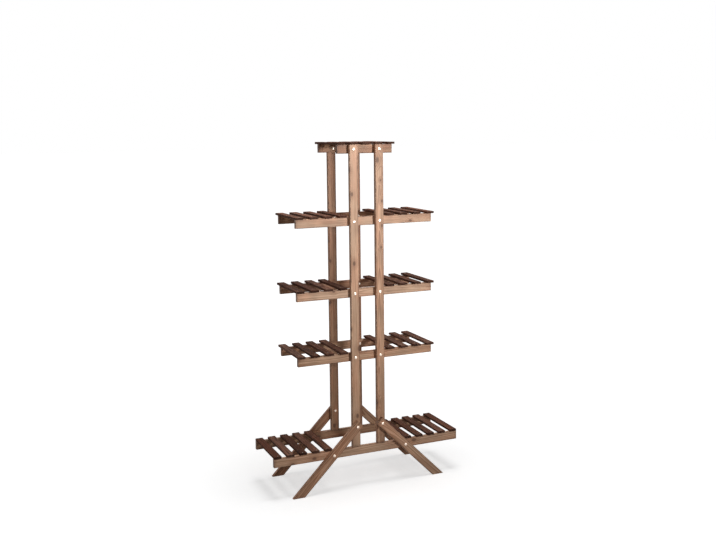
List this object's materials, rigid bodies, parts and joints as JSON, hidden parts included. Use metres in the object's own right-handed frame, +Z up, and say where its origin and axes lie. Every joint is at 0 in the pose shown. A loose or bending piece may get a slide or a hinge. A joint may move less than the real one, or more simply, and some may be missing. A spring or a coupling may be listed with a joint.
{
  "type": "tiered plant stand",
  "caption": "Tall free-standing plant stand: slatted wooden shelves stepped around a slim bolted post frame on splayed legs.",
  "frame": {"origin": "on the floor, under the middle of the stand", "axes": "+X along the shelves to the right seen from the front, +Y from front to back, +Z up"},
  "size_m": [0.83, 0.2876, 1.425],
  "materials": {
    "frame_wood": "flamed softwood with a matt brown stain",
    "slat_wood": "flamed softwood with a darker matt brown stain",
    "bright_steel": "bright zinc plating"
  },
  "bodies": {
    "root": {"frame_bolts": "bright_steel", "frame_nuts": "bright_steel", "leg_front_left": "frame_wood", "leg_front_right": "frame_wood", "leg_rear_left": "frame_wood", "leg_rear_right": "frame_wood", "rail_bottom_front": "frame_wood", "rail_bottom_rear": "frame_wood", "rail_fourth_front": "frame_wood", "rail_fourth_rear": "frame_wood", "rail_second_front": "frame_wood", "rail_second_rear": "frame_wood", "rail_third_front": "frame_wood", "rail_third_rear": "frame_wood", "rail_top_front": "frame_wood", "rail_top_rear": "frame_wood", "slat_bottom_1": "slat_wood", "slat_bottom_10": "slat_wood", "slat_bottom_2": "slat_wood", "slat_bottom_3": "slat_wood", "slat_bottom_4": "slat_wood", "slat_bottom_5": "slat_wood", "slat_bottom_6": "slat_wood", "slat_bottom_7": "slat_wood", "slat_bottom_8": "slat_wood", "slat_bottom_9": "slat_wood", "slat_fourth_1": "slat_wood", "slat_fourth_2": "slat_wood", "slat_fourth_3": "slat_wood", "slat_fourth_4": "slat_wood", "slat_fourth_5": "slat_wood", "slat_fourth_6": "slat_wood", "slat_fourth_7": "slat_wood", "slat_fourth_8": "slat_wood", "slat_second_1": "slat_wood", "slat_second_2": "slat_wood", "slat_second_3": "slat_wood", "slat_second_4": "slat_wood", "slat_second_5": "slat_wood", "slat_second_6": "slat_wood", "slat_second_7": "slat_wood", "slat_second_8": "slat_wood", "slat_third_1": "slat_wood", "slat_third_2": "slat_wood", "slat_third_3": "slat_wood", "slat_third_4": "slat_wood", "slat_third_5": "slat_wood", "slat_third_6": "slat_wood", "slat_third_7": "slat_wood", "slat_third_8": "slat_wood", "slat_top_1": "slat_wood", "slat_top_2": "slat_wood", "slat_top_3": "slat_wood", "slat_top_4": "slat_wood", "slat_top_5": "slat_wood", "upright_front_left": "frame_wood", "upright_front_right": "frame_wood", "upright_rear_left": "frame_wood", "upright_rear_right": "frame_wood"}
  },
  "joints": []
}
